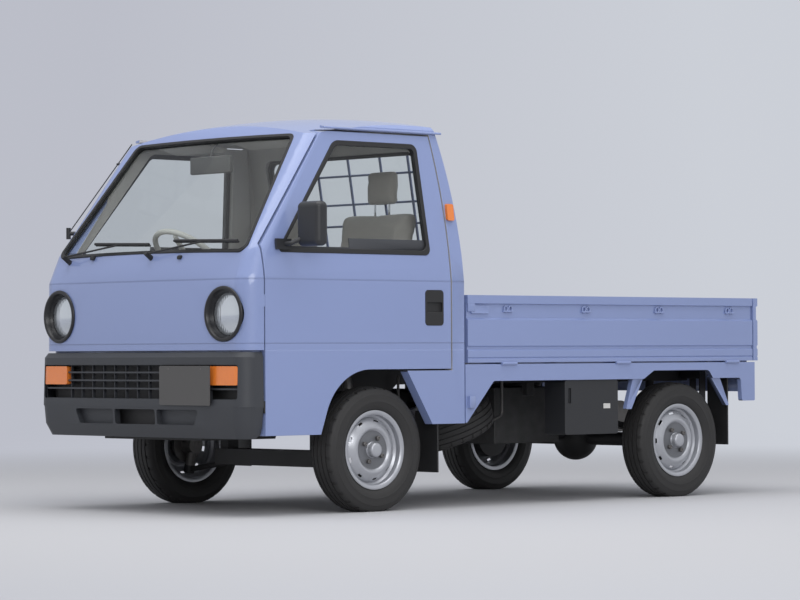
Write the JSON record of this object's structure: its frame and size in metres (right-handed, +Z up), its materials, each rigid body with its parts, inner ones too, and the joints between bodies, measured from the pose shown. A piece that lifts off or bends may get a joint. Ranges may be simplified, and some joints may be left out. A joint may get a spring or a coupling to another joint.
{
  "type": "kei truck",
  "caption": "Cab-over kei pickup truck with a two-seat cab, drop-side load bed, opening doors, hinged gates and steered front wheels.",
  "frame": {"origin": "on the ground, on the centre plane, halfway along the overall length", "axes": "+Y to the rear, +X to the vehicle's left, +Z up; the front faces -Y"},
  "size_m": [1.5755, 3.2045, 1.7039],
  "materials": {
    "body_paint": "gloss periwinkle blue enamel",
    "clear_glass": "clear, faintly green",
    "black_rubber": "matt black rubber",
    "grey_plastic": "grained dark grey moulding",
    "plate_grey": "blank dark grey",
    "lamp_glass": "fluted clear glass over a bright bowl",
    "black_plastic": "satin black moulding",
    "amber_lens": "amber and red lenses",
    "black_metal": "satin black",
    "guard_paint": "grey paint",
    "cabin_plastic": "warm grey moulding",
    "seat_cloth": "grey-beige cloth",
    "chassis_black": "black chassis paint",
    "bare_steel": "dull steel",
    "engine_metal": "cast housings",
    "wheel_steel": "silver wheel enamel",
    "tyre_rubber": "black tyre rubber"
  },
  "bodies": {
    "chassis_and_cab": {"cab_shell": "body_paint", "cab_glass": "clear_glass", "window_rubbers": "black_rubber", "front_bumper": "grey_plastic", "bumper_grille": "grey_plastic", "number_plate": "plate_grey", "headlamps": "lamp_glass", "headlamp_bezels": "black_plastic", "signal_lamps": "amber_lens", "wipers": "black_metal", "antenna": "black_metal", "dashboard": "cabin_plastic", "seats": "seat_cloth", "bed": "body_paint", "headboard": "body_paint", "window_guard": "guard_paint", "chassis_frame": "chassis_black", "engine": "engine_metal", "fuel_tank": "chassis_black", "tool_box": "black_plastic", "exhaust": "bare_steel", "spare_wheel": "tyre_rubber", "spare_carrier": "bare_steel", "mud_flaps": "black_rubber", "front_suspension": "chassis_black", "rear_suspension": "chassis_black"},
    "left_door": {"door_left": "body_paint", "door_glass_left": "clear_glass", "door_trim_left": "black_rubber", "mirror_left": "black_plastic"},
    "right_door": {"door_right": "body_paint", "door_glass_right": "clear_glass", "door_trim_right": "black_rubber"},
    "left_gate": {"gate_left": "body_paint"},
    "right_gate": {"gate_right": "body_paint"},
    "tailgate": {"tailgate": "body_paint"},
    "left_knuckle": {"knuckle_left": "bare_steel"},
    "right_knuckle": {"knuckle_right": "bare_steel"},
    "steering_wheel": {"steering_wheel": "cabin_plastic"},
    "front_left_wheel": {"rim_front_left": "wheel_steel", "tyre_front_left": "tyre_rubber"},
    "front_right_wheel": {"rim_front_right": "wheel_steel", "tyre_front_right": "tyre_rubber"},
    "rear_left_wheel": {"rim_rear_left": "wheel_steel", "tyre_rear_left": "tyre_rubber"},
    "rear_right_wheel": {"rim_rear_right": "wheel_steel", "tyre_rear_right": "tyre_rubber"}
  },
  "joints": [
    {"name": "left_door_hinge", "type": "hinge", "parent": "chassis_and_cab", "child": "left_door", "pos_m": [0.6955, -1.452, 0.8], "axis": [0, 0, -1], "range_deg": [0, 65]},
    {"name": "right_door_hinge", "type": "hinge", "parent": "chassis_and_cab", "child": "right_door", "pos_m": [-0.6955, -1.452, 0.8], "axis": [0, 0, 1], "range_deg": [0, 65]},
    {"name": "left_gate_hinge", "type": "hinge", "parent": "chassis_and_cab", "child": "left_gate", "pos_m": [0.7005, 0.62, 0.62], "axis": [0, 1, 0], "range_deg": [0, 173]},
    {"name": "right_gate_hinge", "type": "hinge", "parent": "chassis_and_cab", "child": "right_gate", "pos_m": [-0.7005, 0.62, 0.62], "axis": [0, -1, 0], "range_deg": [0, 173]},
    {"name": "tailgate_hinge", "type": "hinge", "parent": "chassis_and_cab", "child": "tailgate", "pos_m": [0, 1.6005, 0.62], "axis": [-1, 0, 0], "range_deg": [0, 173]},
    {"name": "left_steer", "type": "hinge", "parent": "chassis_and_cab", "child": "left_knuckle", "pos_m": [0.575, -0.8195, 0.172], "axis": [-0.2425, 0, 0.9701], "range_deg": [-32, 32]},
    {"name": "right_steer", "type": "hinge", "parent": "chassis_and_cab", "child": "right_knuckle", "pos_m": [-0.575, -0.8195, 0.172], "axis": [0.2425, 0, 0.9701], "range_deg": [-32, 32]},
    {"name": "steering_wheel_turn", "type": "hinge", "parent": "chassis_and_cab", "child": "steering_wheel", "pos_m": [-0.32, -1.028, 1.094], "axis": [0, 0.6428, 0.766], "range_deg": [-512, 512]},
    {"name": "front_left_spin", "type": "hinge", "parent": "left_knuckle", "child": "front_left_wheel", "pos_m": [0.6025, -0.8195, 0.26], "axis": [1, 0, 0], "continuous": true},
    {"name": "front_right_spin", "type": "hinge", "parent": "right_knuckle", "child": "front_right_wheel", "pos_m": [-0.6025, -0.8195, 0.26], "axis": [1, 0, 0], "continuous": true},
    {"name": "rear_left_spin", "type": "hinge", "parent": "chassis_and_cab", "child": "rear_left_wheel", "pos_m": [0.6025, 1.0805, 0.26], "axis": [1, 0, 0], "continuous": true},
    {"name": "rear_right_spin", "type": "hinge", "parent": "chassis_and_cab", "child": "rear_right_wheel", "pos_m": [-0.6025, 1.0805, 0.26], "axis": [1, 0, 0], "continuous": true}
  ],
  "couplings": [
    {"joint": "right_steer", "follows": "left_steer", "ratio": 1},
    {"joint": "steering_wheel_turn", "follows": "left_steer", "ratio": 16}
  ]
}
